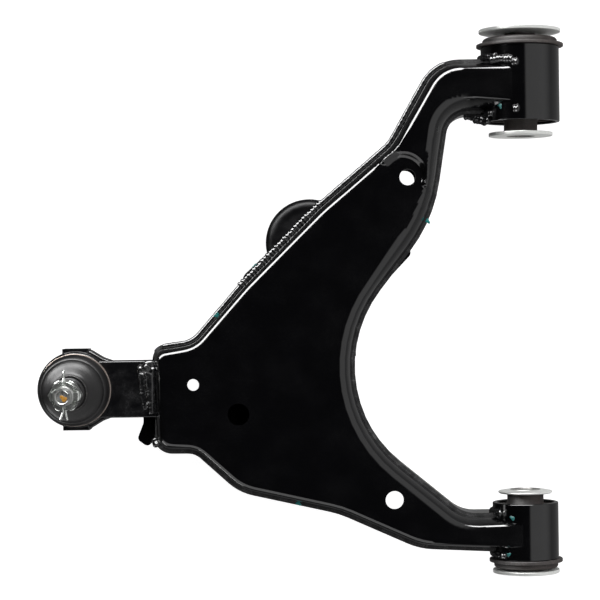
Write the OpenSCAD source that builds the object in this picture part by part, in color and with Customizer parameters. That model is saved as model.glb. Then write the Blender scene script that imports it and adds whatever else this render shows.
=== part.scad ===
// Front lower control arm: two pressed steel shells welded into a box, two pivot bushes and a ball joint.
// Frame: origin at the centre of the front pivot bush, +Y along the pivot axis towards the front bush's
// outer end, -X out to the ball joint, +Z the way the ball stud's thread points. Millimetres.

/* [Layout] */
// Distance between the centres of the two pivot bushes
pivot_span = 375.7; // [374:0.1:378]
// Distance from the pivot axis out to the ball joint
ball_reach = 375.5; // [374:0.1:378]
// Distance of the ball joint behind the front bush
ball_back = 252.3; // [251:0.1:254]

/* [Shells] */
// Thickness of the pressed sheet
sheet = 3; // [2.6:0.1:3.4]
// Height of the upper shell's flat face
face_z = 27; // [26:0.1:27.2]
// Height of the raised face along the front leg
leg_face_z = 31.2; // [30:0.1:31.8]
// Depth of the lower shell's outer floor
floor_z = -23; // [-24:0.1:-22]
// Height of the lap joint, the top of the lower shell's rim
lap_z = 9; // [7:0.5:11]

/* [Front bush] */
// Outer diameter of the front eye tube
front_tube_d = 65.5; // [65:0.1:66]
// Wall thickness of both eye tubes
tube_wall = 3.75; // [3.5:0.05:4]
// Diameter of the bolt hole through both inner sleeves
bolt_hole_d = 18.3; // [18:0.1:18.6]
// Length of the front inner sleeve
front_sleeve_l = 89.6; // [89.5:0.1:91]
// Diameter of the front bush's large dished stop washer
front_washer_d = 68.5; // [60:0.5:72]

/* [Rear bush] */
// Outer diameter of the rear eye tube
rear_tube_d = 55; // [54.6:0.1:55.4]
// Length of the rear inner sleeve
rear_sleeve_l = 70; // [69.8:0.1:71]
// Diameter of the rear bush's flat end washer
rear_washer_d = 56; // [50:0.5:60]

/* [Ball joint] */
// Outer diameter of the forged housing
housing_d = 64; // [62:0.5:66]
// Diameter of the ball
ball_d = 32; // [31.5:0.1:32.2]
// Lean of the stud about the X axis
lean_x = 2.1; // [-3:0.1:3]
// Lean of the stud about the Y axis
lean_y = -2.5; // [-3:0.1:3]
// Major diameter of the stud's thread
thread_d = 16; // [15.5:0.1:16.2]
// Width across the flats of the castle nut
nut_flats = 24; // [23:0.5:26]

/* [Shock bracket] */
// Width of the gap between the two ears
ear_gap = 44; // [38:1:48]
// Thickness of each ear
ear_t = 6; // [5:0.5:7]
// Diameter of the cross bolt's hole
shock_bolt_d = 14.2; // [12:0.1:16]
// Depth of the cross bolt below the pivot plane
shock_bolt_z = -62; // [-66:1:-58]

/* [Hidden] */
$fn = 96;

black = "#17181a";
zinc = "#c9cdc8";
steel = "#8d9094";
rubber = "#2a2321";
far = 200;
gap = 0.05;
arc_step = 7;
end_x = 5;
front_r = front_tube_d / 2;
rear_r = rear_tube_d / 2;
ball = [-ball_reach, -ball_back, 0];
shank_w = 47.4;
shank_h = 26;
nose_x = -313;

// Corners of the arm's plan outline, anticlockwise: x, y, corner radius, width of the shoulder there.
outline_corners = [
    [end_x, 19.8, 0, 9.5],
    [-73, 19.5, 36, 10],
    [-112.4, -49.4, 30, 9.5],
    [-174.4, -102, 150, 9],
    [-237, -165, 90, 8],
    [-278, -212, 20, 7.5],
    [nose_x, -216.8, 14, 8],
    [nose_x + 2, -306.8, 16, 8],
    [-276.5, -307, 16, 7],
    [-240.2, -340, 45, 7],
    [-157, -358.9, 80, 7],
    [-90, -389, 60, 7],
    [end_x, 2 - pivot_span - 20, 0, 7],
    [end_x, 16 - pivot_span, 0, 9],
    [-52.6, 16 - pivot_span, 30, 10],
    [-182.5, -252.7, 104.5, 10],
    [-74.4, -114.2, 125, 12.5],
    [-60.6, -26.3, 19, 13],
    [end_x, -26.3, 0, 9]
];

// Drain and locating holes: x, y, radius in the upper shell, radius in the lower shell (0 where there is none).
shell_holes = [
    [-96.9, -79.3, 6.7, 8.2],
    [-276.5, -248.9, 4.9, 9],
    [-111, -346.3, 7.5, 13],
    [-239.3, -273.8, 9, 0]
];

function unit(v) = v / norm(v);
function xy(p) = [p[0], p[1]];

// The points of one rounded corner, each with the corner's shoulder width carried along.
function corner_arc(before, at, after) =
    let (
        u = unit(xy(before) - xy(at)),
        v = unit(xy(after) - xy(at)),
        half = acos(u * v) / 2,
        r = at[2]
    )
    r == 0 ? [[at[0], at[1], at[3]]] :
    let (
        centre = xy(at) + unit(u + v) * r / sin(half),
        start = xy(at) + u * r / tan(half) - centre,
        turn = 180 - 2 * half,
        way = u[0] * v[1] - u[1] * v[0] > 0 ? -1 : 1,
        a0 = atan2(start[1], start[0]),
        steps = max(2, ceil(turn / arc_step))
    )
    [for (i = [0:steps])
        let (a = a0 + way * turn * i / steps)
        [centre[0] + r * cos(a), centre[1] + r * sin(a), at[3]]];

function rounded(corners) =
    let (n = len(corners))
    [for (i = [0:n - 1])
        each corner_arc(corners[(i + n - 1) % n], corners[i], corners[(i + 1) % n])];

// Moves every point of a closed outline inwards: a fixed distance plus a share of its own shoulder width.
function inset(points, fixed, share = 0) =
    let (n = len(points))
    [for (i = [0:n - 1])
        let (
            a = unit(xy(points[i]) - xy(points[(i + n - 1) % n])),
            b = unit(xy(points[(i + 1) % n]) - xy(points[i])),
            na = [-a[1], a[0]],
            nb = [-b[1], b[0]],
            d = fixed + share * points[i][2]
        )
        xy(points[i]) + d * (na + nb) / (1 + na * nb)];

function at_height(points, z) = [for (p = points) [p[0], p[1], z]];

outline = rounded(outline_corners);

// A closed skin through a stack of loops with equal point counts, the first and last loops capped.
module skin(loops) {
    n = len(loops[0]);
    m = len(loops);
    sides = [for (k = [0:m - 2], i = [0:n - 1])
        each [
            [k * n + i, (k + 1) * n + (i + 1) % n, k * n + (i + 1) % n],
            [k * n + i, (k + 1) * n + i, (k + 1) * n + (i + 1) % n]
        ]];
    polyhedron(
        points = [for (loop = loops) each loop],
        faces = concat(
            sides,
            [[for (i = [0:n - 1]) i]],
            [[for (i = [n - 1:-1:0]) (m - 1) * n + i]]
        )
    );
}

// A pressed tray's shoulder, from the lap height up to the face: share of the shoulder width, share of the height.
shoulder = [[0, 0], [0.14, 0.3], [0.32, 0.55], [0.54, 0.76], [0.77, 0.92], [1, 1]];

module upper_tray() {
    lap = sheet + gap;
    inner_face = face_z - sheet;
    outside = [for (s = shoulder)
        at_height(inset(outline, lap * (1 - s[0]), s[0]), lap_z + (face_z - lap_z) * s[1])];
    inside = [for (k = [len(shoulder) - 1:-1:0])
        let (s = shoulder[k])
        at_height(
            inset(outline, lap * (1 - s[0]) + sheet * (1 - 0.5 * s[0]), s[0]),
            lap_z + (inner_face - lap_z) * s[1]
        )];
    skin(concat(
        inside,
        [at_height(inset(outline, lap + sheet), -4)],
        [at_height(inset(outline, lap), -4)],
        outside
    ));
}

module lower_tray() {
    difference() {
        translate([0, 0, floor_z]) linear_extrude(lap_z - floor_z) polygon([for (p = outline) xy(p)]);
        translate([0, 0, floor_z + sheet]) linear_extrude(far) polygon(inset(outline, sheet));
    }
}

module along_y(y) {
    translate([0, y, 0]) rotate([-90, 0, 0]) children();
}

module ring(outer_r, inner_r, z0, z1) {
    translate([0, 0, z0]) difference() {
        cylinder(r = outer_r, h = z1 - z0);
        translate([0, 0, -1]) cylinder(r = inner_r, h = z1 - z0 + 2);
    }
}

module front_eye() {
    along_y(-far / 4) cylinder(r = front_r, h = far / 2);
}

module rear_eye() {
    along_y(-pivot_span - far / 4) cylinder(r = rear_r, h = far / 2);
}

module shank_slot() {
    translate([nose_x - 20, -ball_back - shank_w / 2 - gap, -shank_h / 2 - gap])
        cube([46, shank_w + 2 * gap, shank_h + 2 * gap]);
}

// Raised land along the front leg, ending in a round step about the first locating hole.
module leg_land() {
    difference() {
        translate([0, 0, face_z - 1]) linear_extrude(leg_face_z - face_z + 1) intersection() {
            polygon(inset(outline, 1.2, 1));
            translate([-110, -72]) square([120, 100]);
        }
        translate([-101, -79, face_z]) cylinder(r = 21, h = 10);
    }
}

module upper_shell() {
    color(black) difference() {
        union() {
            upper_tray();
            leg_land();
        }
        front_eye();
        rear_eye();
        shank_slot();
        for (h = shell_holes)
            translate([h[0], h[1], 0]) cylinder(r = h[2], h = 60);
    }
}

// Flat tongue of the lower shell under the forged shank.
module nose_tongue() {
    tongue = [
        [-300, -236, 0, 0], [-321, -236, 6, 0], [-321, -282, 8, 0], [-326.5, -296, 4, 0],
        [-317.5, -302.5, 4, 0], [-308.5, -293, 4, 0], [-300, -296, 0, 0]
    ];
    translate([0, 0, -shank_h / 2 - gap - sheet])
        linear_extrude(sheet) polygon([for (p = rounded(tongue)) xy(p)]);
}

module lower_shell() {
    color(black) difference() {
        union() {
            lower_tray();
            nose_tongue();
        }
        front_eye();
        rear_eye();
        shank_slot();
        translate([nose_x - 20, -ball_back - 80, -shank_h / 2]) cube([23.5, 160, 80]);
        for (h = shell_holes)
            if (h[3] > 0) translate([h[0], h[1], floor_z - 5]) cylinder(r = h[3], h = 10);
    }
}

// Weld bead along the lap joint on the outer edge, between the front eye and the nose.
module seam_weld() {
    bead = [[sheet - gap, 0], [0.7, 0], [0.8, 1.5], [1.7, 2.6], [sheet - gap, 3.1]];
    first = 4;
    last = 30;
    loops = [for (i = [first:last])
        [for (b = bead) let (p = inset(outline, b[0])[i]) [p[0], p[1], lap_z + gap + b[1]]]];
    color(black) skin(loops);
}

// Weld bead across the nose, where the forged shank enters the shells.
module shank_weld() {
    r = 8;
    x = nose_x + sheet;
    color(black) intersection() {
        translate([x, -ball_back, shank_h / 2]) rotate([90, 0, 0])
            cylinder(r = r, h = shank_w - 8, center = true);
        translate([x - 20, -ball_back - 40, shank_h / 2 + gap]) cube([20 - gap, 80, 20]);
    }
}

shock_x = -165;
shock_y = -200;
seat = [-178.5, -131];
seat_r = 37.4;

// Saddle plate under the front leg with two ears for the shock absorber's eye.
module shock_bracket() {
    plate = [
        [-143, -74, 6, 0], [-237, -160, 10, 0], [-222, -226, 10, 0], [-142, -226, 10, 0],
        [-129, -181, 8, 0], [-91, -141, 5, 0], [-112, -112, 14, 0]
    ];
    color(black) difference() {
        union() {
            translate([0, 0, floor_z - gap - sheet])
                linear_extrude(sheet) polygon([for (p = rounded(plate)) xy(p)]);
            for (side = [-1, 1])
                translate([shock_x, shock_y + side * (ear_gap + ear_t) / 2, 0])
                    rotate([90, 0, 0]) linear_extrude(ear_t, center = true) ear_outline();
        }
        translate([seat[0], seat[1], floor_z - 10]) cylinder(r = seat_r + gap, h = 20);
        translate([shock_x, shock_y, shock_bolt_z]) rotate([90, 0, 0])
            cylinder(d = shock_bolt_d, h = far, center = true);
    }
}

module ear_outline() {
    eye_r = 17;
    base = 25;
    top = floor_z - sheet;
    polygon([[-base, top], [-eye_r, shock_bolt_z], [eye_r, shock_bolt_z], [base, top]]);
    translate([0, shock_bolt_z]) circle(r = eye_r);
}

// Hexagonal nut welded to the outer face of the rear ear.
module shock_weld_nut() {
    color(black) translate([shock_x, shock_y - ear_gap / 2 - ear_t - gap, shock_bolt_z])
        rotate([90, 0, 0]) difference() {
            cylinder(r = 12.7, h = 12, $fn = 6);
            translate([0, 0, -1]) cylinder(d = 12.2, h = 14);
        }
}

// Round pressed cup beside the shock bracket that the rubber bump stop lands in.
module bump_stop_seat() {
    lip_r = 6.8;
    flat_r = seat_r - lip_r;
    top = floor_z - gap;
    skirt = 8;
    color(black) translate([seat[0], seat[1], top]) rotate_extrude() polygon(concat(
        [[0, -sheet], [0, 0]],
        [for (a = [90:-15:0]) [flat_r + lip_r * cos(a), lip_r * sin(a) - lip_r]],
        [[seat_r, -lip_r - skirt], [seat_r - sheet, -lip_r - skirt]],
        [for (a = [0:15:90])
            [flat_r + (lip_r - sheet) * cos(a), (lip_r - sheet) * sin(a) - lip_r]]
    ));
}

/* Front bush */
front_outer_r = front_r - tube_wall;
front_liner_r = front_outer_r - 2;
front_inner_r = 12;
hole_r = bolt_hole_d / 2;

module front_bush_tube() {
    color(black) along_y(0) ring(front_r, front_outer_r, -33, 30);
}

module front_bush_outer_sleeve() {
    color(rubber) along_y(0) union() {
        ring(front_outer_r, front_liner_r, -31, 30);
        ring(36.5, front_liner_r, 30, 32.5);
    }
}

module front_bush_rubber() {
    color(rubber) along_y(0) rotate_extrude() polygon([
        [front_inner_r, -41.4], [14, -41.4], [14, -33], [17, -28], [front_liner_r, -27],
        [front_liner_r, 32.5], [31.2, 32.5], [31.2, 35.8], [29.7, 37.3], [17, 37.3],
        [13.3, 38.5], [13.3, 41], [front_inner_r, 41]
    ]);
}

module front_bush_inner_sleeve() {
    color(zinc) along_y(0) ring(front_inner_r, hole_r, -front_sleeve_l / 2, front_sleeve_l / 2);
}

// Dished stop washer pressed over the outer end of the inner sleeve.
module front_stop_washer() {
    r = front_washer_d / 2;
    color(zinc) along_y(0) rotate_extrude() polygon([
        [front_inner_r + gap / 2, 41.3], [21, 41.3], [25, 42], [r, 42], [r, 43.8],
        [r - 1, 44.8], [24.5, 44.8], [20.5, 44], [front_inner_r + gap / 2, 44]
    ]);
}

module front_end_washer() {
    color(zinc) along_y(0) ring(26.75, front_inner_r + gap / 2, -44.8, -41.7);
}

/* Rear bush */
rear_outer_r = rear_r - tube_wall;
rear_liner_r = rear_outer_r - 1.8;
rear_inner_r = 12.5;

module rear_bush_tube() {
    color(black) along_y(-pivot_span) ring(rear_r, rear_outer_r, -23, 24.2);
}

module rear_bush_outer_sleeve() {
    color(rubber) along_y(-pivot_span) union() {
        ring(rear_outer_r, rear_liner_r, -23, 22);
        ring(30.75, rear_liner_r, -25.7, -23);
    }
}

module rear_bush_rubber() {
    color(rubber) along_y(-pivot_span) rotate_extrude() polygon([
        [rear_inner_r, -31.7], [14.7, -31.7], [17, -30.5], [25.6, -30.5], [26.8, -29.2],
        [26.8, -25.7], [rear_liner_r, -25.7], [rear_liner_r, 19], [17.5, 20], [15.2, 24],
        [15.2, 31.2], [rear_inner_r, 31.2]
    ]);
}

module rear_bush_inner_sleeve() {
    color(zinc) along_y(-pivot_span) ring(rear_inner_r, hole_r, -rear_sleeve_l / 2, rear_sleeve_l / 2);
}

module rear_end_washer() {
    color(zinc) along_y(-pivot_span) ring(rear_washer_d / 2, rear_inner_r + gap / 2, -35, -32);
}

module rear_stop_washer() {
    color(zinc) along_y(-pivot_span) rotate_extrude() polygon([
        [rear_inner_r + gap / 2, 31.5], [21.5, 31.5], [22.75, 32.3], [22.4, 33.4],
        [17, 34.4], [rear_inner_r + gap / 2, 34.6]
    ]);
}

/* Ball joint */
housing_r = housing_d / 2;
ball_r = ball_d / 2;
cup_r = 22;
cup_floor = -19;
seat_top = 9;
neck_top = 20;

module at_ball() {
    translate(ball) children();
}

module at_stud() {
    translate(ball) rotate([lean_x, lean_y, 0]) children();
}

// Forged housing with its shank, two flats and a groove for the boot.
module ball_joint_housing() {
    color(black) at_ball() difference() {
        union() {
            translate([0, 0, -20]) cylinder(r1 = housing_r - 3, r2 = housing_r, h = 6);
            translate([0, 0, -14]) cylinder(r = housing_r, h = 24);
            translate([0, 0, 10]) cylinder(r1 = housing_r, r2 = 29.5, h = 3.5);
            translate([0, 0, 13]) cylinder(r = 27, h = neck_top - 13);
            translate([-11, -34, -13]) cube([22, 68, 22]);
            translate([20, -shank_w / 2, -shank_h / 2]) cube([64.5, shank_w, shank_h]);
        }
        translate([0, 0, -21]) cylinder(r = 24.5, h = 3);
        translate([0, 0, cup_floor]) cylinder(r = cup_r, h = seat_top - cup_floor);
        translate([0, 0, 8]) cylinder(r = 16.5, h = 5);
        translate([0, 0, 12]) cylinder(r1 = 16.5, r2 = 22, h = 8.02);
    }
}

module ball_seat_lower() {
    color("ivory") at_ball() difference() {
        translate([0, 0, -15.5]) cylinder(r = cup_r - gap, h = 15.3);
        sphere(r = ball_r + gap);
        translate([0, 0, -17]) cylinder(r = 7, h = 6);
    }
}

module ball_seat_upper() {
    color("ivory") at_ball() difference() {
        translate([0, 0, 0.2]) cylinder(r = cup_r - gap, h = seat_top - 0.3);
        sphere(r = ball_r + gap);
        translate([0, 0, -1]) cylinder(r = 13.4, h = 12);
    }
}

// Dished spring that loads the lower seat against the ball.
module preload_spring() {
    color(steel) at_ball() rotate_extrude() polygon([
        [9, -17], [9, -15.6], [12, -15.6], [20, -16.5], [20, -17.9], [12, -17]
    ]);
}

module housing_cap() {
    color(steel) at_ball() translate([0, 0, -20.5]) cylinder(r = 24.4, h = 2.5);
}

boot_foot = 14;
boot_seat_r = 28.6;

module boot_retaining_ring() {
    color(steel) at_ball() ring(30.2, boot_seat_r + gap, boot_foot + 1, boot_foot + 4);
}

// Rubber dust boot: foot in the housing's groove, dome, and a collar that grips the stud.
module dust_boot() {
    color("#1d1d1f") difference() {
        union() {
            at_ball() rotate_extrude() polygon([
                [27 + gap, boot_foot], [boot_seat_r, boot_foot], [boot_seat_r, 19], [29.6, 22],
                [29, 26], [26.4, 30], [22, 33.5], [17, 36], [17, 33], [21, 31], [24.6, 28.4],
                [27, 25], [27.4, 22], [27 + gap, 20.5]
            ]);
            at_stud() ring(18, 10.3, 33, 36);
            at_stud() ring(13.2, 10.3, 35, 45);
        }
        at_stud() translate([0, 0, 20]) cylinder(r = 10.3, h = 30);
    }
}

module boot_clip_ring() {
    color(steel) at_stud() translate([0, 0, 41]) rotate_extrude() translate([14.2, 0]) circle(r = 0.9);
}

thread_r = thread_d / 2;
pin_z = 69;

module ball_stud() {
    color(steel) at_stud() difference() {
        union() {
            sphere(r = ball_r);
            cylinder(r = 8, h = 26);
            translate([0, 0, 22]) cylinder(r1 = 8, r2 = 10, h = 8);
            translate([0, 0, 30]) cylinder(r = 10, h = 16.5);
            translate([0, 0, 46.5]) cylinder(r1 = 10, r2 = thread_r + 0.4, h = 9);
            cylinder(r = thread_r, h = 77.5);
            translate([0, 0, 77.5]) cylinder(r1 = thread_r, r2 = thread_r - 1.4, h = 1.5);
        }
        translate([0, 0, -ball_r - 1]) cylinder(r = 6, h = 2.5);
        translate([0, 0, pin_z]) rotate([90, 0, 0]) cylinder(r = 1.95, h = 40, center = true);
    }
}

module castle_nut() {
    z0 = 56.5;
    crown_z = 66.5;
    crown_h = 6;
    color(zinc) at_stud() difference() {
        union() {
            intersection() {
                translate([0, 0, z0]) cylinder(r = nut_flats / 2 / cos(30), h = crown_z - z0, $fn = 6);
                translate([0, 0, z0]) cylinder(r1 = 12.4, r2 = 25, h = 12);
                translate([0, 0, z0]) cylinder(r1 = 22, r2 = 12.6, h = crown_z - z0);
            }
            translate([0, 0, crown_z - 0.5]) cylinder(r = 11.4, h = crown_h + 0.5);
        }
        translate([0, 0, z0 - 1]) cylinder(r = thread_r + 0.03, h = 20);
        for (a = [0, 60, 120]) rotate([0, 0, a])
            translate([-2.1, -20, crown_z]) cube([4.2, 40, 10]);
    }
}

// Split pin through the stud and the nut's crown, with its legs spread.
module cotter_pin() {
    r = 1.75;
    color(steel) at_stud() translate([0, 0, pin_z]) {
        rotate([90, 0, 0]) cylinder(r = r, h = 30, center = true);
        translate([0, 17.6, 0]) rotate_extrude() translate([2.9, 0]) circle(r = 1.2);
        translate([0, -14.6, 0]) rotate([98, 0, -14]) cylinder(r = 1.3, h = 6.5);
        translate([0, -14.6, 0]) rotate([84, 0, 16]) cylinder(r = 1.3, h = 5.5);
    }
}

upper_shell();
lower_shell();
seam_weld();
shank_weld();
shock_bracket();
shock_weld_nut();
bump_stop_seat();
front_bush_tube();
front_bush_outer_sleeve();
front_bush_rubber();
front_bush_inner_sleeve();
front_stop_washer();
front_end_washer();
rear_bush_tube();
rear_bush_outer_sleeve();
rear_bush_rubber();
rear_bush_inner_sleeve();
rear_end_washer();
rear_stop_washer();
ball_joint_housing();
ball_seat_lower();
ball_seat_upper();
preload_spring();
housing_cap();
boot_retaining_ring();
dust_boot();
boot_clip_ring();
ball_stud();
castle_nut();
cotter_pin();
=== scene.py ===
import math
import random

import bmesh
import bpy
from mathutils import Matrix, Vector


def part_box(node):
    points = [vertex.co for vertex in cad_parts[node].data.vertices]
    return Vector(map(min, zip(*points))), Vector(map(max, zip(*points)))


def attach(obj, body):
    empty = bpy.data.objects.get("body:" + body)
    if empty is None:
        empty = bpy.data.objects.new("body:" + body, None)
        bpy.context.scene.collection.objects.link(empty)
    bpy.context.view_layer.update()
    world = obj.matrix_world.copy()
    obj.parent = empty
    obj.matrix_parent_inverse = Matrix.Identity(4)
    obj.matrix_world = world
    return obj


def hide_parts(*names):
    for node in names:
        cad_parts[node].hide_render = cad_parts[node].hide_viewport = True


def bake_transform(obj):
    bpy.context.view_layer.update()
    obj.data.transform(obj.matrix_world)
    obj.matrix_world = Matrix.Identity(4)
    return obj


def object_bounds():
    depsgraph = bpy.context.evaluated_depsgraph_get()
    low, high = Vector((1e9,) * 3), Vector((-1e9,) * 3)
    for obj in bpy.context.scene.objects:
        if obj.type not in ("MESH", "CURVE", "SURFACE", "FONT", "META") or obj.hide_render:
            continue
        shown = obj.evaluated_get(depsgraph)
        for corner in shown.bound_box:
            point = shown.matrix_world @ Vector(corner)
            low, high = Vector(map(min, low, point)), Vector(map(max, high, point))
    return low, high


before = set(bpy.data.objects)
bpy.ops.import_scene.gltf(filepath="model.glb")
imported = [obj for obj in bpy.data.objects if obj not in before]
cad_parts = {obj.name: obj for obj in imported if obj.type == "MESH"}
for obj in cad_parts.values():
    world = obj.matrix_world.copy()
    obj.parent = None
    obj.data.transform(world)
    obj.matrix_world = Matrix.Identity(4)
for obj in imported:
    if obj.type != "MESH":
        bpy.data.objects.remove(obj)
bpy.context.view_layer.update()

# ---- Upper shell -------------------------------------------------------------------------------
# The top half of the arm, pressed from 3 mm steel sheet with a broad rolled shoulder and coated in
# gloss black. The front leg's face stands higher and drops to the body's face in a round step.
MM = 0.001
COAT_BLACK = (0.0035, 0.0035, 0.0042)
COAT_DUST = (0.011, 0.011, 0.012)
STEP_CENTRE = Vector((-101, -79))
LEG_WAY = Vector((0.5, 0.866))
STEP_FOOT, STEP_CREST = 14.6, 22.2
LAP_Z, FACE_Z, LEG_FACE_Z = 9.0, 27.0, 31.2
FRONT_TUBE_R = 32.75
LEG_REAR_Y = -60
EDGE_BLEND = 4.0
ROW_GAP, COLUMN_GAP, LEG_CUT_GAP = 1.1, 1.3, 4
ROW_REACH, COLUMN_REACH = 60, 40
FINE, WELD_GAP = 0.01, 0.12


def cad_copy(name):
    """A merged copy of a CAD node's mesh, in millimetres."""
    bm = bmesh.new()
    bm.from_mesh(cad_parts[name].data)
    bmesh.ops.scale(bm, vec=(1000, 1000, 1000), verts=bm.verts)
    bmesh.ops.remove_doubles(bm, verts=bm.verts, dist=0.01)
    return bm


def flatten_faces(bm):
    bmesh.ops.dissolve_limit(
        bm, angle_limit=math.radians(0.6), verts=bm.verts, edges=bm.edges, use_dissolve_boundaries=False
    )


def sharp_edges(bm, angle=32):
    limit = math.radians(angle)
    return [e for e in bm.edges if len(e.link_faces) == 2 and e.calc_face_angle(0) > limit]


def round_edges(bm, width, segments=3, angle=32):
    bmesh.ops.bevel(
        bm, geom=sharp_edges(bm, angle), offset=width, offset_type="OFFSET", segments=segments,
        profile=0.5, affect="EDGES", clamp_overlap=True, material=-1
    )


def make_piece(bm, name, material, body, nodes=(), smooth=38, weighted=False):
    """Turns a bmesh in millimetres into a piece in metres that rides on a body."""
    bmesh.ops.remove_doubles(bm, verts=bm.verts, dist=0.002)
    bmesh.ops.recalc_face_normals(bm, faces=bm.faces)
    bmesh.ops.scale(bm, vec=(MM, MM, MM), verts=bm.verts)
    for face in bm.faces:
        face.smooth = True
    mesh = bpy.data.meshes.new(name)
    bm.to_mesh(mesh)
    bm.free()
    mesh.set_sharp_from_angle(angle=math.radians(smooth))
    mesh.materials.append(material)
    piece = bpy.data.objects.new(name, mesh)
    bpy.context.scene.collection.objects.link(piece)
    if weighted:
        even = piece.modifiers.new("even_shading", "WEIGHTED_NORMAL")
        even.mode = "FACE_AREA"
        even.weight = 100
        even.keep_sharp = True
    if body:
        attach(piece, body)
    if nodes:
        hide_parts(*nodes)
    return piece


def finish(name, colour, second, rough, metallic=0.0, blotch=60, grain=900, bump=0.05, **sockets):
    """A procedural surface: two tones in blotches and specks, an uneven gloss and a fine relief."""
    material = bpy.data.materials.new(name)
    material.use_nodes = True
    nodes = material.node_tree.nodes
    links = material.node_tree.links
    shader = nodes["Principled BSDF"]
    shader.inputs["Metallic"].default_value = metallic
    for socket, value in sockets.items():
        shader.inputs[socket.replace("_", " ")].default_value = value
    place = nodes.new("ShaderNodeTexCoord")

    def noise(scale, detail):
        node = nodes.new("ShaderNodeTexNoise")
        node.inputs["Scale"].default_value = scale
        node.inputs["Detail"].default_value = detail
        links.new(place.outputs["Object"], node.inputs["Vector"])
        return node.outputs["Fac"]

    def spread(value, low, high, to_low, to_high):
        node = nodes.new("ShaderNodeMapRange")
        for key, number in (("From Min", low), ("From Max", high), ("To Min", to_low), ("To Max", to_high)):
            node.inputs[key].default_value = number
        links.new(value, node.inputs["Value"])
        return node.outputs["Result"]

    wide = noise(blotch, 5)
    fine = noise(grain, 3)
    tone = nodes.new("ShaderNodeMix")
    tone.data_type = "RGBA"
    tone.inputs["A"].default_value = (*colour, 1)
    tone.inputs["B"].default_value = (*second, 1)
    both = nodes.new("ShaderNodeMath")
    both.operation = "MULTIPLY"
    links.new(spread(wide, 0.42, 0.68, 0.15, 1), both.inputs[0])
    links.new(spread(fine, 0.44, 0.66, 0, 1), both.inputs[1])
    links.new(both.outputs[0], tone.inputs["Factor"])
    links.new(tone.outputs["Result"], shader.inputs["Base Color"])
    links.new(spread(wide, 0.3, 0.7, rough[0], rough[1]), shader.inputs["Roughness"])
    relief = nodes.new("ShaderNodeBump")
    relief.inputs["Strength"].default_value = bump
    relief.inputs["Distance"].default_value = 0.0006
    links.new(fine, relief.inputs["Height"])
    links.new(relief.outputs["Normal"], shader.inputs["Normal"])
    return material


def ease(value):
    value = min(1, max(0, value))
    return value * value * (3 - 2 * value)


gloss_coat = finish(
    "gloss_electrocoat", COAT_BLACK, COAT_DUST, (0.09, 0.125), blotch=35, grain=1400, bump=0.012,
    Coat_Weight=0.25, Coat_Roughness=0.04
)


def leg_share(x, y):
    """How far a place belongs to the raised leg: 0 on the body's face, 1 on the leg's."""
    offset = Vector((x, y)) - STEP_CENTRE
    climb = ease((offset.length - STEP_FOOT) / (STEP_CREST - STEP_FOOT))
    return climb * ease((offset.dot(LEG_WAY) + 0.5) / 4.5)


def cut_across(bm, faces, spot, normal):
    """Cuts the given faces with a plane, so that the skin can bend there."""
    corners = {v for f in faces for v in f.verts}
    sides = {e for f in faces for e in f.edges}
    bmesh.ops.bisect_plane(
        bm, geom=list(corners) + list(sides) + faces, plane_co=spot, plane_no=normal, dist=0.001
    )


def on_front_tube(vert, slack):
    """Whether a point of the leg's end lies on the eye tube's outside."""
    return vert.co.y > LEG_REAR_Y and abs(math.hypot(vert.co.x, vert.co.z) - FRONT_TUBE_R) < slack


upper = cad_copy("upper_shell")
for vert in upper.verts:
    if vert.co.z > FACE_Z:
        if on_front_tube(vert, 0.3):
            vert.co.x = -math.sqrt(FRONT_TUBE_R**2 - FACE_Z**2)
        vert.co.z = FACE_Z
bmesh.ops.remove_doubles(upper, verts=upper.verts, dist=0.02)
crease = [v for v in upper.verts if v.co.z > FACE_Z - FINE and v.co.x > -60 and v.co.y > -40]
bmesh.ops.remove_doubles(upper, verts=crease, dist=1.2)
bmesh.ops.dissolve_degenerate(upper, dist=FINE, edges=upper.edges)
upper.normal_update()
flatten_faces(upper)
top_faces = [
    f for f in upper.faces if f.normal.z > 0.99 and f.calc_center_median().z > FACE_Z - FINE
]
bmesh.ops.inset_region(
    upper, faces=top_faces, thickness=EDGE_BLEND, depth=0, use_boundary=True, use_even_offset=False
)
across = Vector((-LEG_WAY.y, LEG_WAY.x))
for step in range(-4, 25):
    near = [
        f for f in upper.faces
        if f.calc_center_median().z > LAP_Z - 4
        and any((v.co.xy - STEP_CENTRE).length < ROW_REACH for v in f.verts)
    ]
    spot = STEP_CENTRE + LEG_WAY * step * ROW_GAP
    cut_across(upper, near, (spot.x, spot.y, 0), (LEG_WAY.x, LEG_WAY.y, 0))
for step in range(-26, 27):
    near = [
        f for f in upper.faces
        if f.calc_center_median().z > LAP_Z - 4
        and (f.calc_center_median().xy - STEP_CENTRE).length < COLUMN_REACH
    ]
    spot = STEP_CENTRE + across * step * COLUMN_GAP
    cut_across(upper, near, (spot.x, spot.y, 0), (across.x, across.y, 0))
for vert in upper.verts:
    x, y, z = vert.co
    on_tube = on_front_tube(vert, 0.05)
    if LAP_Z < z < FACE_Z + FINE:
        vert.co.z += leg_share(x, y) * (LEG_FACE_Z - FACE_Z) * (z - LAP_Z) / (FACE_Z - LAP_Z)
        if on_tube:
            vert.co.x = -math.sqrt(FRONT_TUBE_R**2 - vert.co.z**2)
for cut in range(-60, -12, LEG_CUT_GAP):
    near = [f for f in upper.faces if any(v.co.x > -64 and v.co.y > -45 for v in f.verts)]
    cut_across(upper, near, (cut, 0, 0), (1, 0, 0))
bmesh.ops.remove_doubles(upper, verts=upper.verts, dist=WELD_GAP)
bmesh.ops.dissolve_degenerate(upper, dist=FINE, edges=upper.edges)
make_piece(upper, "upper_shell_pressing", gloss_coat, "arm", ["upper_shell"], smooth=40)

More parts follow.
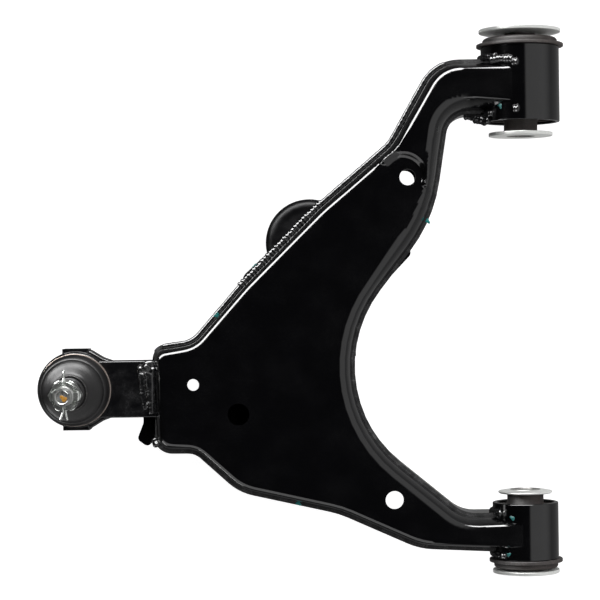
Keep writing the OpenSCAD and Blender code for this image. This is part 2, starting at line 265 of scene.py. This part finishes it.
# ---- Lower shell -------------------------------------------------------------------------------
# The bottom half, pressed from the same sheet. Its wall stands outside the upper shell's and its
# floor turns up in a tight bend. The sheared rim takes the seam weld, so its coat is dull and specky.
FLOOR_Z = -23.0
FLOOR_BEND = 7.0
RIM_ROUND = 0.9
rim_coat = finish(
    "rim_electrocoat", (0.012, 0.012, 0.013), (0.11, 0.108, 0.11), (0.3, 0.5), blotch=160,
    grain=1500, bump=0.12
)
lower = cad_copy("lower_shell")
flatten_faces(lower)
floor_edges = [
    e for e in lower.edges
    if all(abs(v.co.z - FLOOR_Z) < 0.02 for v in e.verts) and len(e.link_faces) == 2
    and e.calc_face_angle(0) > 1 and max(f.calc_area() for f in e.link_faces) > 5000
    and not any(abs(math.hypot(v.co.x, v.co.z) - FRONT_TUBE_R) < 0.3 for v in e.verts)
]
bmesh.ops.bevel(
    lower, geom=floor_edges, offset=FLOOR_BEND, offset_type="OFFSET", segments=5, profile=0.5,
    affect="EDGES", clamp_overlap=True, material=-1
)
rim_edges = [
    e for e in lower.edges
    if all(abs(v.co.z - LAP_Z) < 0.02 for v in e.verts) and len(e.link_faces) == 2
    and e.calc_face_angle(0) > 1
]
bmesh.ops.bevel(
    lower, geom=rim_edges, offset=RIM_ROUND, offset_type="OFFSET", segments=3, profile=0.5,
    affect="EDGES", clamp_overlap=True, material=-1
)
lower_piece = make_piece(
    lower, "lower_shell_pressing", gloss_coat, "arm", ["lower_shell"], 34, True
)
lower_piece.data.materials.append(rim_coat)
for face in lower_piece.data.polygons:
    if face.center.z > (LAP_Z - 0.1) * MM:
        face.material_index = 1

# ---- Welds -------------------------------------------------------------------------------------
# Fillet beads laid by a robot torch: the long seam round the outer edge, the run at each eye tube and
# the heavy bead where the forged shank enters the nose. All are rippled, under the same black coat.
SEAM_OUT, SEAM_UP = 1.3, 1.2
HEAVY_FROM_X, HEAVY_TO_X = -240, -118
random.seed(7)
weld_coat = finish(
    "weld_electrocoat", (0.008, 0.008, 0.009), (0.06, 0.06, 0.062), (0.1, 0.24), blotch=220, grain=1800,
    bump=0.05, Coat_Weight=0.3, Coat_Roughness=0.05
)


def along(points, gap):
    """Places every gap millimetres along a path, each with the path's direction there."""
    places = []
    left = 0.0
    for start, end in zip(points, points[1:]):
        run = end - start
        reach = left
        while reach < run.length:
            places.append((start + run.normalized() * reach, run.normalized()))
            reach += gap
        left = reach - run.length
    return places


def bead(name, paths, radius, gap, nodes=(), taper=1.0, wander=0.25, flat=0.8, smoothing=2):
    """A weld bead: flat drops along each path, the last taper times the first, melted together."""
    bm = bmesh.new()
    for path in paths:
        places = along([Vector(p) for p in path], gap)
        for step, (spot, way) in enumerate(places):
            drop = bmesh.ops.create_icosphere(bm, subdivisions=2, radius=radius)["verts"]
            size = (1 + (taper - 1) * step / len(places)) * (1 + random.uniform(-0.1, 0.1))
            lean = way.to_track_quat("X", "Z").to_matrix().to_4x4()
            wide = Matrix.Diagonal((0.62 * size, size, flat * size, 1))
            shift = Vector((random.uniform(-wander, wander) for _ in range(3)))
            place = Matrix.Translation(spot + shift) @ lean @ wide
            bmesh.ops.transform(bm, matrix=place, verts=drop)
    mesh = bpy.data.meshes.new(name + "_drops")
    bm.to_mesh(mesh)
    bm.free()
    rough = bpy.data.objects.new(name + "_drops", mesh)
    bpy.context.scene.collection.objects.link(rough)
    melt = rough.modifiers.new("melt", "REMESH")
    melt.mode = "VOXEL"
    melt.voxel_size = 0.5
    skin = bmesh.new()
    skin.from_mesh(rough.evaluated_get(bpy.context.evaluated_depsgraph_get()).to_mesh())
    bpy.data.objects.remove(rough)
    for _ in range(smoothing):
        bmesh.ops.smooth_vert(
            skin, verts=skin.verts, factor=0.5, use_axis_x=True, use_axis_y=True, use_axis_z=True
        )
    return make_piece(skin, name, weld_coat, "arm", nodes, smooth=180)


seam_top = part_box("seam_weld")[1].z - 0.00002
stations = sorted(
    {
        (round(v.co.x * 1000, 2), round(v.co.y * 1000, 2))
        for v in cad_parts["seam_weld"].data.vertices if v.co.z > seam_top
    },
    reverse=True
)
seam = []
for here, after in zip(stations, stations[1:]):
    way = (Vector(after) - Vector(here)).normalized()
    spot = Vector(here) + Vector((way.y, -way.x)) * SEAM_OUT
    seam.append((spot.x, spot.y, LAP_Z + SEAM_UP))
heavy = [p for p in seam if HEAVY_FROM_X < p[0] < HEAVY_TO_X]
bead("seam_weld_bead", [seam], 2.35, 0.8, ["seam_weld"], wander=0.05, smoothing=14)
bead("seam_weld_heavy_run", [heavy], 3.5, 3.3, flat=0.6, smoothing=1)

REAR_TUBE_R, REAR_Y = 27.5, -375.7


def eye_ring(radius, y, low, high, turns):
    """A path up the side of an eye tube where a shell's end wall meets it."""
    heights = [low + (high - low) * i / turns for i in range(turns + 1)]
    return [(-math.sqrt(radius**2 - z * z) - 0.6, y, z) for z in heights]


bead(
    "eye_tube_welds",
    [
        eye_ring(FRONT_TUBE_R, 20.6, -22, 24, 12), eye_ring(FRONT_TUBE_R, -27.0, -22, 22, 12),
        eye_ring(REAR_TUBE_R, -359.0, -21, 20, 10), eye_ring(REAR_TUBE_R, -394.4, -21, 20, 10)
    ],
    3.0, 2.2
)
bead(
    "front_leg_weld",
    [
        [(-26, 17, 25.5), (-21, 17.6, 28.0), (-16, 17.8, 29.4), (-10, 17.2, 30.8)],
        [(-46, -27.5, 4), (-40, -28.5, 6), (-34, -30, 9), (-30, -31.5, 12), (-27, -32.5, 16)],
        [(-38, -30.5, 3), (-33, -32, 6), (-30, -33, 9)],
        [(-8.5, 14.8, 31.0), (-6, 14.9, 31.8)], [(-8, -24, 31.2), (-5.5, -24.2, 31.9)]
    ],
    3.6, 2.4
)
bead(
    "shank_weld_bead",
    [
        [(-318.4, -235, 13), (-318.6, -250, 13), (-318, -262, 12.6), (-317.4, -269, 12.2)],
        [(-313, -231, 14.5), (-312.6, -250, 15), (-312.4, -262, 14.6), (-312, -272, 13.6)]
    ],
    6.2, 2.4, ["shank_weld"], taper=0.42, wander=0.1, flat=0.5, smoothing=8
)
bead(
    "shank_weld_start", [[(-320.5, -236.0, 13.2), (-315, -235.4, 15.2), (-309.5, -237.8, 14.6)]],
    5.4, 2.6, wander=0.5, flat=0.7, smoothing=6
)
bead("nose_corner_weld", [[(-310, -295, 8), (-307.5, -300, 9)]], 3.6, 2.0, taper=1.1, smoothing=5)

# ---- Shock absorber bracket and bump stop cup --------------------------------------------------
# A folded plate welded under the front leg carries the shock's eye between two ears, with a weld nut
# behind. The round pressed cup beside it catches the rubber bump stop. All are coated with the arm.
def softened(node, width, name, material, body, segments=3, smooth=38):
    bm = cad_copy(node)
    flatten_faces(bm)
    round_edges(bm, width, segments)
    return make_piece(bm, name, material, body, [node], smooth, True)


softened("shock_bracket", 0.5, "shock_bracket_plate", gloss_coat, "arm")
softened("shock_weld_nut", 0.4, "shock_nut", gloss_coat, "arm")
CUP_AT = (-178.5, -131.0)
CUP_TOP = -23.05


def lathe(profile, turns=128):
    """Spins a closed profile of (radius, height) about Z."""
    bm = bmesh.new()
    ring = [bm.verts.new((r, 0, z)) for r, z in profile]
    edges = [bm.edges.new((a, b)) for a, b in zip(ring, ring[1:] + ring[:1])]
    bmesh.ops.spin(
        bm, geom=ring + edges, cent=(0, 0, 0), axis=(0, 0, 1), angle=math.tau, steps=turns,
        use_merge=True
    )
    bmesh.ops.remove_doubles(bm, verts=bm.verts, dist=0.001)
    bmesh.ops.dissolve_degenerate(bm, dist=0.0005, edges=bm.edges)
    bmesh.ops.recalc_face_normals(bm, faces=bm.faces)
    return bm


cup = lathe([
    (0.02, -3), (0.02, -0.6), (25, -0.6), (28.6, -0.5), (29.8, 0), (30.9, 0), (33.5, -0.5), (35.5, -2),
    (36.9, -4.4), (37.3, -6.8), (37.3, -14.7), (34.4, -14.7), (34.4, -6.8), (33.2, -4.6), (30.6, -3)
])
bmesh.ops.translate(cup, vec=(*CUP_AT, CUP_TOP), verts=cup.verts)
cup_coat = finish(
    "cup_electrocoat", (0.004, 0.004, 0.005), (0.022, 0.021, 0.022), (0.28, 0.46), blotch=90, grain=1500,
    bump=0.06, Specular_IOR_Level=0.12
)
make_piece(cup, "bump_stop_cup", cup_coat, "arm", ["bump_stop_seat"])

# ---- Pivot bushes ------------------------------------------------------------------------------
# Each eye is a cut steel tube with a rubber bush pressed in: a flanged liner, the moulded rubber, a
# bored sleeve for the bolt, and zinc plated washers that stop the arm's travel.
ZINC = (0.84, 0.85, 0.83)
ZINC_DULL = (0.62, 0.64, 0.60)
zinc_plate = finish(
    "zinc_plating", ZINC, ZINC_DULL, (0.28, 0.46), metallic=0.2, blotch=130, grain=1600, bump=0.05
)
sleeve_steel = finish(
    "bored_steel", (0.42, 0.42, 0.41), (0.20, 0.19, 0.17), (0.3, 0.5), metallic=0.9, blotch=90, bump=0.08
)
liner_coat = finish(
    "liner_phosphate", (0.045, 0.038, 0.036), (0.13, 0.10, 0.095), (0.4, 0.6), blotch=120, bump=0.1
)
bush_rubber = finish(
    "bush_rubber", (0.030, 0.024, 0.022), (0.085, 0.066, 0.060), (0.45, 0.65), blotch=150, grain=1300,
    bump=0.14
)


def turned(profile, y, name, material, body, node, edge=0.4):
    """A lathe-turned piece on a bush's axis, with its corners broken."""
    bm = lathe(profile)
    if edge:
        round_edges(bm, edge, 3, 40)
    turn = Matrix.Rotation(math.radians(-90), 4, "X")
    bmesh.ops.transform(bm, matrix=Matrix.Translation((0, y, 0)) @ turn, verts=bm.verts)
    return make_piece(bm, name, material, body, [node], 38, True)


def tube_profile(outer, inner, low, high):
    return [(inner, low), (outer, low), (outer, high), (inner, high)]


turned(
    tube_profile(32.75, 29.0, -33, 30), 0, "front_eye_tube", gloss_coat, "arm",
    "front_bush_tube", 0.8
)
turned(
    [(27, -31), (29, -31), (29, 30), (36.4, 30), (36.4, 32.5), (27, 32.5)], 0, "front_bush_liner",
    liner_coat, "arm", "front_bush_outer_sleeve", 0.5
)
turned(
    [
        (12.1, -41.4), (14, -41.4), (14, -33), (17, -28), (27, -27), (27, 32.5), (31.2, 32.5), (31.2, 35.8),
        (29.7, 37.3), (17, 37.3), (13.3, 38.5), (13.3, 41), (12.1, 41)
    ],
    0, "front_bush_moulding", bush_rubber, "arm", "front_bush_rubber", 0.7
)
turned(
    tube_profile(12, 9.15, -44.8, 44.8), 0, "front_bolt_sleeve", sleeve_steel, "front_bush_core",
    "front_bush_inner_sleeve", 0.5
)
turned(
    [
        (12.03, 41.3), (21, 41.3), (25, 42), (34.2, 42), (34.2, 44.8), (24.5, 44.8), (20.5, 44),
        (12.03, 44)
    ],
    0, "front_dished_washer", zinc_plate, "front_bush_core", "front_stop_washer", 0.5
)
turned(
    tube_profile(26.75, 12.03, -44.8, -41.7), 0, "front_flat_washer", zinc_plate, "front_bush_core",
    "front_end_washer", 0.6
)
turned(
    tube_profile(27.5, 23.75, -23, 24.2), REAR_Y, "rear_eye_tube", gloss_coat, "arm",
    "rear_bush_tube", 0.8
)
turned(
    [(21.95, -25.7), (30.65, -25.7), (30.65, -23), (23.75, -23), (23.75, 22), (21.95, 22)], REAR_Y,
    "rear_bush_liner", liner_coat, "arm", "rear_bush_outer_sleeve", 0.5
)
turned(
    [
        (12.6, -31.7), (14.7, -31.7), (17, -30.5), (25.6, -30.5), (26.8, -29.2), (26.8, -25.7),
        (21.95, -25.7), (21.95, 19), (17.5, 20), (15.2, 24), (15.2, 31.2), (12.6, 31.2)
    ],
    REAR_Y, "rear_bush_moulding", bush_rubber, "arm", "rear_bush_rubber", 0.6
)
turned(
    tube_profile(12.5, 9.15, -35, 35), REAR_Y, "rear_bolt_sleeve", sleeve_steel, "rear_bush_core",
    "rear_bush_inner_sleeve", 0.5
)
turned(
    tube_profile(27.9, 12.53, -35, -32), REAR_Y, "rear_flat_washer", zinc_plate, "rear_bush_core",
    "rear_end_washer", 0.6
)
turned(
    [(12.53, 31.5), (21.5, 31.5), (22.75, 32.3), (22.4, 33.4), (17, 34.4), (12.53, 34.6)], REAR_Y,
    "rear_dished_washer", zinc_plate, "rear_bush_core", "rear_stop_washer", 0.3
)

# ---- Ball joint housing ------------------------------------------------------------------------
# A forged steel head and shank, machined inside for the ball, with two flats for the press tool. A
# rolled-in cap over a dished spring closes it from below, and two plastic seats hold the ball.
BALL = Vector((-375.5, -252.3, 0))
LEAN = Matrix.Rotation(math.radians(-2.5), 4, "Y") @ Matrix.Rotation(math.radians(2.1), 4, "X")
forging_coat = finish(
    "forging_electrocoat", (0.005, 0.005, 0.006), (0.022, 0.022, 0.024), (0.12, 0.28), blotch=110,
    grain=1100, bump=0.07, Coat_Weight=0.2, Coat_Roughness=0.08
)
SHANK_HALF_W, SHANK_HALF_H = 23.7, 13.0
SHANK_ROUND = 4.5
WEB_BASE_Z, WEB_HEIGHT = -12.4, 20.6


def on_shank_corner(vert):
    side = abs(abs(vert.co.y - BALL.y) - SHANK_HALF_W)
    height = abs(abs(vert.co.z) - SHANK_HALF_H)
    return side < 0.1 and height < 0.1


forging = cad_copy("ball_joint_housing")
flatten_faces(forging)
shank_edges = [e for e in sharp_edges(forging) if all(on_shank_corner(v) for v in e.verts)]
bmesh.ops.bevel(
    forging, geom=shank_edges, offset=SHANK_ROUND, offset_type="OFFSET", segments=5, profile=0.5,
    affect="EDGES", clamp_overlap=True, material=-1
)
round_edges(forging, 0.9)
for side in (-1, 1):
    web = bmesh.new()
    corners = [(11, 33.4), (22.5, 26.4), (31, 23.3), (34, 20), (8, 20)]
    base = web.faces.new([web.verts.new((x, side * y, WEB_BASE_Z)) for x, y in corners])
    rise = bmesh.ops.extrude_face_region(web, geom=[base])["geom"]
    raised = [v for v in rise if isinstance(v, bmesh.types.BMVert)]
    bmesh.ops.translate(web, vec=(0, 0, WEB_HEIGHT), verts=raised)
    bmesh.ops.recalc_face_normals(web, faces=web.faces)
    round_edges(web, 1.6, 4, 20)
    bmesh.ops.translate(web, vec=BALL, verts=web.verts)
    name = "housing_web_rear" if side < 0 else "housing_web_front"
    make_piece(web, name, forging_coat, "arm", smooth=60)
make_piece(
    forging, "ball_housing_forging", forging_coat, "arm", ["ball_joint_housing"], 38, True
)
seat_plastic = finish(
    "seat_acetal", (0.62, 0.58, 0.46), (0.50, 0.46, 0.36), (0.35, 0.5), blotch=80, bump=0.04
)
dark_steel = finish(
    "spring_steel", (0.30, 0.30, 0.31), (0.16, 0.15, 0.15), (0.3, 0.5), metallic=1.0, blotch=140, bump=0.08
)
for node, material in (
    ("ball_seat_lower", seat_plastic), ("ball_seat_upper", seat_plastic), ("preload_spring", dark_steel),
    ("housing_cap", forging_coat)
):
    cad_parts[node].data.materials.clear()
    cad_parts[node].data.materials.append(material)

# ---- Dust boot ---------------------------------------------------------------------------------
# Moulded neoprene: a foot held under a flat steel band, a domed wall, and a collar gripped to the stud
# by a wire ring. The real wall flexes as the stud swings; here it is two fixed halves that meet at a groove.
boot_neoprene = finish(
    "boot_neoprene", (0.006, 0.0055, 0.006), (0.022, 0.020, 0.021), (0.33, 0.45), blotch=60, grain=1200,
    bump=0.04, Specular_IOR_Level=0.36
)
PARTING_Z = 30.0
COLLAR_START, COLLAR_END = 24.0, 36.0


def boot_half(profile, name, nodes):
    bm = lathe(profile)
    for vert in bm.verts:
        share = ease((vert.co.z - COLLAR_START) / (COLLAR_END - COLLAR_START))
        vert.co = vert.co.lerp(LEAN @ vert.co, share)
    bmesh.ops.translate(bm, vec=BALL, verts=bm.verts)
    piece = make_piece(bm, name, boot_neoprene, None, smooth=50)
    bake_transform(piece)
    if nodes:
        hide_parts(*nodes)
    return piece


boot_half(
    [
        (27.05, 14), (28.6, 14), (28.6, 18.6), (29.0, 20), (29.5, 21.6), (29.6, 23.2), (29.4, 25),
        (28.9, 26.6), (28.1, 28.2), (27.2, 29.3), (26.2, PARTING_Z), (23.8, PARTING_Z), (25.2, 28.4),
        (27, 25), (27.4, 22), (27.05, 20.5)
    ],
    "dust_boot_lower_wall",
    ["dust_boot"]
)
boot_half(
    [
        (26.2, PARTING_Z), (25.9, 30.6), (25.0, 31.8), (23.6, 33.0), (21.8, 34.0), (19.6, 34.9),
        (17.2, 35.7), (15.4, 36.6), (14.2, 37.8), (13.4, 39.4), (13.2, 41), (13.3, 42.6), (13.1, 44.2),
        (12.4, 45), (10.35, 45), (10.35, 37.2), (15.6, 34.6), (20.2, 32.2), (23.8, PARTING_Z)
    ],
    "dust_boot_upper_wall",
    []
)
band = lathe([(28.65, 15), (30.2, 15), (30.2, 18), (28.65, 18)])
round_edges(band, 0.3, 2, 40)
bmesh.ops.translate(band, vec=BALL, verts=band.verts)
band_steel = finish(
    "band_steel", (0.36, 0.31, 0.28), (0.16, 0.12, 0.10), (0.25, 0.42), metallic=0.9, blotch=120, bump=0.05
)
make_piece(band, "boot_steel_band", band_steel, "arm", ["boot_retaining_ring"])
wire_coat = finish(
    "wire_phosphate", (0.030, 0.029, 0.030), (0.10, 0.095, 0.09), (0.3, 0.45), metallic=0.5, blotch=200,
    bump=0.06
)
softened("boot_clip_ring", 0.01, "boot_wire_ring", wire_coat, "boot_collar")

# ---- Ball stud, castle nut and split pin -------------------------------------------------------
# The forged stud carries a ball below, a ground taper for the knuckle and an M16 thread, made here as
# rings. The slotted nut is zinc plated, and the split pin through both keeps it from turning.
stud_steel = finish(
    "stud_steel", (0.50, 0.51, 0.50), (0.26, 0.25, 0.22), (0.22, 0.4), metallic=0.95, blotch=160, bump=0.07
)
nut_zinc = finish(
    "nut_zinc", (0.74, 0.76, 0.74), (0.46, 0.48, 0.44), (0.14, 0.26), metallic=0.82, blotch=240, bump=0.05
)
THREAD_R, THREAD_DEPTH, THREAD_PITCH = 8.0, 0.8, 1.5
stud_profile = [(0.02, -15.9), (4, -15.5), (8, -13.86), (11.3, -11.3), (13.86, -8), (15.45, -4.14), (16, 0)]
stud_profile += [(15.45, 4.14), (13.86, 8), (11.3, 11.3), (9, 13), (7.7, 15), (7.5, 18), (7.7, 22), (10, 30)]
stud_profile += [(10, 46.5), (8.4, 55.5), (THREAD_R, 56)]
for turn in range(14):
    low = 56.3 + turn * THREAD_PITCH
    stud_profile += [(THREAD_R - THREAD_DEPTH, low + THREAD_PITCH / 2), (THREAD_R, low + THREAD_PITCH)]
stud_profile += [(THREAD_R - 0.1, 77.6), (6.6, 79), (5.6, 79), (5.2, 78.7), (0.02, 78.6)]
stud = lathe(stud_profile, 96)
bmesh.ops.transform(stud, matrix=Matrix.Translation(BALL) @ LEAN, verts=stud.verts)
make_piece(stud, "threaded_ball_stud", stud_steel, "stud", ["ball_stud"], smooth=30)
softened("castle_nut", 0.35, "slotted_nut", nut_zinc, "stud")
PIN_Z, WIRE_R = 69.0, 0.95
pin_bm = bmesh.new()
for side in (-1, 1):
    spread = 10 if side > 0 else 22
    way = [(0, 20.6, PIN_Z + side * 0.3), (0, 19.4, PIN_Z + side * 1.7), (0, 16.6, PIN_Z + side * 1.9)]
    way += [(side * 0.6, 13.6, PIN_Z + side * 0.9), (side * 0.86, 10, PIN_Z), (side * 0.86, -11, PIN_Z)]
    bend = math.radians(spread)
    way += [(side * 1.3, -14, PIN_Z - 0.3 * side)]
    way += [(side * (1.3 + 5.5 * math.sin(bend)), -14 - 5.5 * math.cos(bend), PIN_Z - 1.2 * side)]
    curve = bpy.data.curves.new("wire", "CURVE")
    curve.dimensions = "3D"
    curve.bevel_depth = WIRE_R
    curve.bevel_resolution = 5
    curve.use_fill_caps = True
    spline = curve.splines.new("NURBS")
    spline.points.add(len(way) - 1)
    for point, place in zip(spline.points, way):
        point.co = (*place, 1)
    spline.use_endpoint_u = True
    spline.order_u = 3
    wire = bpy.data.objects.new("wire", curve)
    pin_bm.from_mesh(wire.to_mesh())
    bpy.data.objects.remove(wire)
bmesh.ops.transform(pin_bm, matrix=Matrix.Translation(BALL) @ LEAN, verts=pin_bm.verts)
make_piece(pin_bm, "split_pin", nut_zinc, "stud", ["cotter_pin"])

# ---- Inspection marks --------------------------------------------------------------------------
# The inspector touches a small dab of teal paint beside each weld that has been looked at, and an
# orange one on the end of the stud.
teal_paint = finish(
    "teal_paint", (0.01, 0.26, 0.25), (0.02, 0.42, 0.40), (0.3, 0.45), blotch=400, bump=0.1
)
orange_paint = finish(
    "orange_paint", (0.80, 0.38, 0.02), (0.45, 0.10, 0.02), (0.3, 0.45), blotch=300, bump=0.1
)


def dab(name, x, y, length, turn, material, body):
    """A smear of paint laid on whatever surface lies under a place."""
    start = Vector((x * MM, y * MM, 0.2))
    spot, normal = bpy.context.scene.ray_cast(
        bpy.context.evaluated_depsgraph_get(), start, Vector((0, 0, -1))
    )[1:3]
    bm = bmesh.new()
    verts = bmesh.ops.create_icosphere(bm, subdivisions=3, radius=1)["verts"]
    bmesh.ops.scale(bm, vec=(length / 2, length / 3.2, 0.22), verts=verts)
    for vert in bm.verts:
        wave = 1 + 0.22 * math.sin(3 * math.atan2(vert.co.y, vert.co.x) + turn)
        vert.co.x *= wave
        vert.co.y *= wave
    bmesh.ops.rotate(bm, matrix=Matrix.Rotation(math.radians(turn), 3, "Z"), verts=bm.verts)
    tilt = normal.to_track_quat("Z", "Y").to_matrix().to_4x4()
    bmesh.ops.transform(bm, matrix=Matrix.Translation(spot * 1000) @ tilt, verts=bm.verts)
    return make_piece(bm, name, material, body, smooth=60)


TEAL_LENGTH = 4.8
TEAL_SPOTS = [
    (-257, -191.4), (-225.2, -150.4), (-166.4, -94.4), (-79.6, -115.2), (-190.7, -349.8), (-19.6, -21.2),
    (-13.5, -362.8), (-17.2, -393.3)
]
bpy.context.view_layer.update()
for number, (x, y) in enumerate(TEAL_SPOTS):
    dab(f"teal_mark_{number + 1}", x, y, TEAL_LENGTH, 40 * number, teal_paint, "arm")
stud_end = LEAN @ Vector((0, 0, 79)) + BALL
dab("orange_mark", stud_end.x + 1.2, stud_end.y - 1.2, 6.6, 30, orange_paint, "stud")

# ---- Floor, lights and camera ------------------------------------------------------------------
# A pale sweep of floor, a broad white studio side to the right, two strip lights and a dim panel that
# pick out the pressed shoulders, and one soft key light. The camera looks straight down.
floor_mesh = bmesh.new()
bmesh.ops.create_grid(floor_mesh, x_segments=2, y_segments=2, size=12)
bmesh.ops.translate(floor_mesh, vec=(0, 0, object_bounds()[0][2] - 0.0005), verts=floor_mesh.verts)
floor_data = bpy.data.meshes.new("floor")
floor_mesh.to_mesh(floor_data)
floor_mesh.free()
floor = bpy.data.objects.new("floor", floor_data)
bpy.context.scene.collection.objects.link(floor)
floor_paint = finish(
    "floor_paint", (0.5, 0.5, 0.5), (0.52, 0.52, 0.52), (0.7, 0.8), blotch=4, bump=0.0,
    Emission_Color=(1, 1, 1, 1), Emission_Strength=0.92
)
floor_data.materials.append(floor_paint)
floor.visible_glossy = False

world = bpy.data.worlds.new("studio")
world.use_nodes = True
bpy.context.scene.world = world
tree = world.node_tree
backdrop = tree.nodes["Background"]
way = tree.nodes.new("ShaderNodeTexCoord")
parts = tree.nodes.new("ShaderNodeSeparateXYZ")


def fade(value, low, high, to_low, to_high):
    node = tree.nodes.new("ShaderNodeMapRange")
    node.interpolation_type = "SMOOTHSTEP"
    for key, number in (("From Min", low), ("From Max", high), ("To Min", to_low), ("To Max", to_high)):
        node.inputs[key].default_value = number
    tree.links.new(value, node.inputs["Value"])
    return node.outputs["Result"]


studio_side = tree.nodes.new("ShaderNodeMath")
studio_side.operation = "MULTIPLY"
rays = tree.nodes.new("ShaderNodeLightPath")
choice = tree.nodes.new("ShaderNodeMix")
choice.data_type = "FLOAT"
choice.inputs["B"].default_value = 0.95
tree.links.new(way.outputs["Generated"], parts.inputs[0])
tree.links.new(fade(parts.outputs["X"], 0.10, 0.24, 0, 0.78), studio_side.inputs[0])
tree.links.new(fade(parts.outputs["Z"], -0.4, 0.5, 0, 1), studio_side.inputs[1])
tree.links.new(rays.outputs["Is Camera Ray"], choice.inputs["Factor"])
low_light = tree.nodes.new("ShaderNodeMath")
low_light.operation = "ADD"
tree.links.new(studio_side.outputs[0], low_light.inputs[0])
right_only = tree.nodes.new("ShaderNodeMath")
right_only.operation = "MULTIPLY"
tree.links.new(fade(parts.outputs["Z"], -0.35, 0.0, 0.22, 0), right_only.inputs[0])
tree.links.new(fade(parts.outputs["X"], -0.15, 0.2, 0.25, 1), right_only.inputs[1])
tree.links.new(right_only.outputs[0], low_light.inputs[1])
tree.links.new(low_light.outputs[0], choice.inputs["A"])
tree.links.new(choice.outputs["Result"], backdrop.inputs["Strength"])
backdrop.inputs["Color"].default_value = (1, 1, 1, 1)


def softbox(name, azimuth, elevation, width, height, brightness):
    """A rectangular light 5 m from the arm's middle, at a compass azimuth and elevation."""
    distance = 5.0
    light = bpy.data.lights.new(name, "AREA")
    light.shape = "RECTANGLE"
    light.size = width
    light.size_y = height
    light.energy = brightness * math.pi * width * height
    lamp = bpy.data.objects.new(name, light)
    bpy.context.scene.collection.objects.link(lamp)
    a, e = math.radians(azimuth), math.radians(elevation)
    aim = Vector((math.cos(a) * math.cos(e), math.sin(a) * math.cos(e), math.sin(e)))
    lamp.location = Vector((-0.187, -0.18, 0)) + aim * distance
    level = Vector((0, 0, 1)).cross(aim).normalized()
    lamp.rotation_euler = Matrix((level, aim.cross(level), aim)).transposed().to_euler()
    return lamp


for lamp in (
    softbox("strip_upper_left", 114, 38, 7.6, 2.6, 22),
    softbox("strip_lower_left", 228, 8, 2.8, 0.9, 15),
    softbox("panel_below", 250, 36, 6.2, 2.6, 1.5)
):
    lamp.visible_diffuse = False
softbox("key_panel", 60, 60, 3, 3, 3.0).visible_glossy = False

camera_data = bpy.data.cameras.new("camera")
camera_data.lens = 121.4
camera_data.sensor_width = 36
camera = bpy.data.objects.new("camera", camera_data)
bpy.context.scene.collection.objects.link(camera)
camera.location = (-0.18717, -0.17976, 1.7)
camera.rotation_euler = (0, 0, -0.01309)
bpy.context.scene.camera = camera
bpy.context.scene.view_settings.view_transform = "Standard"
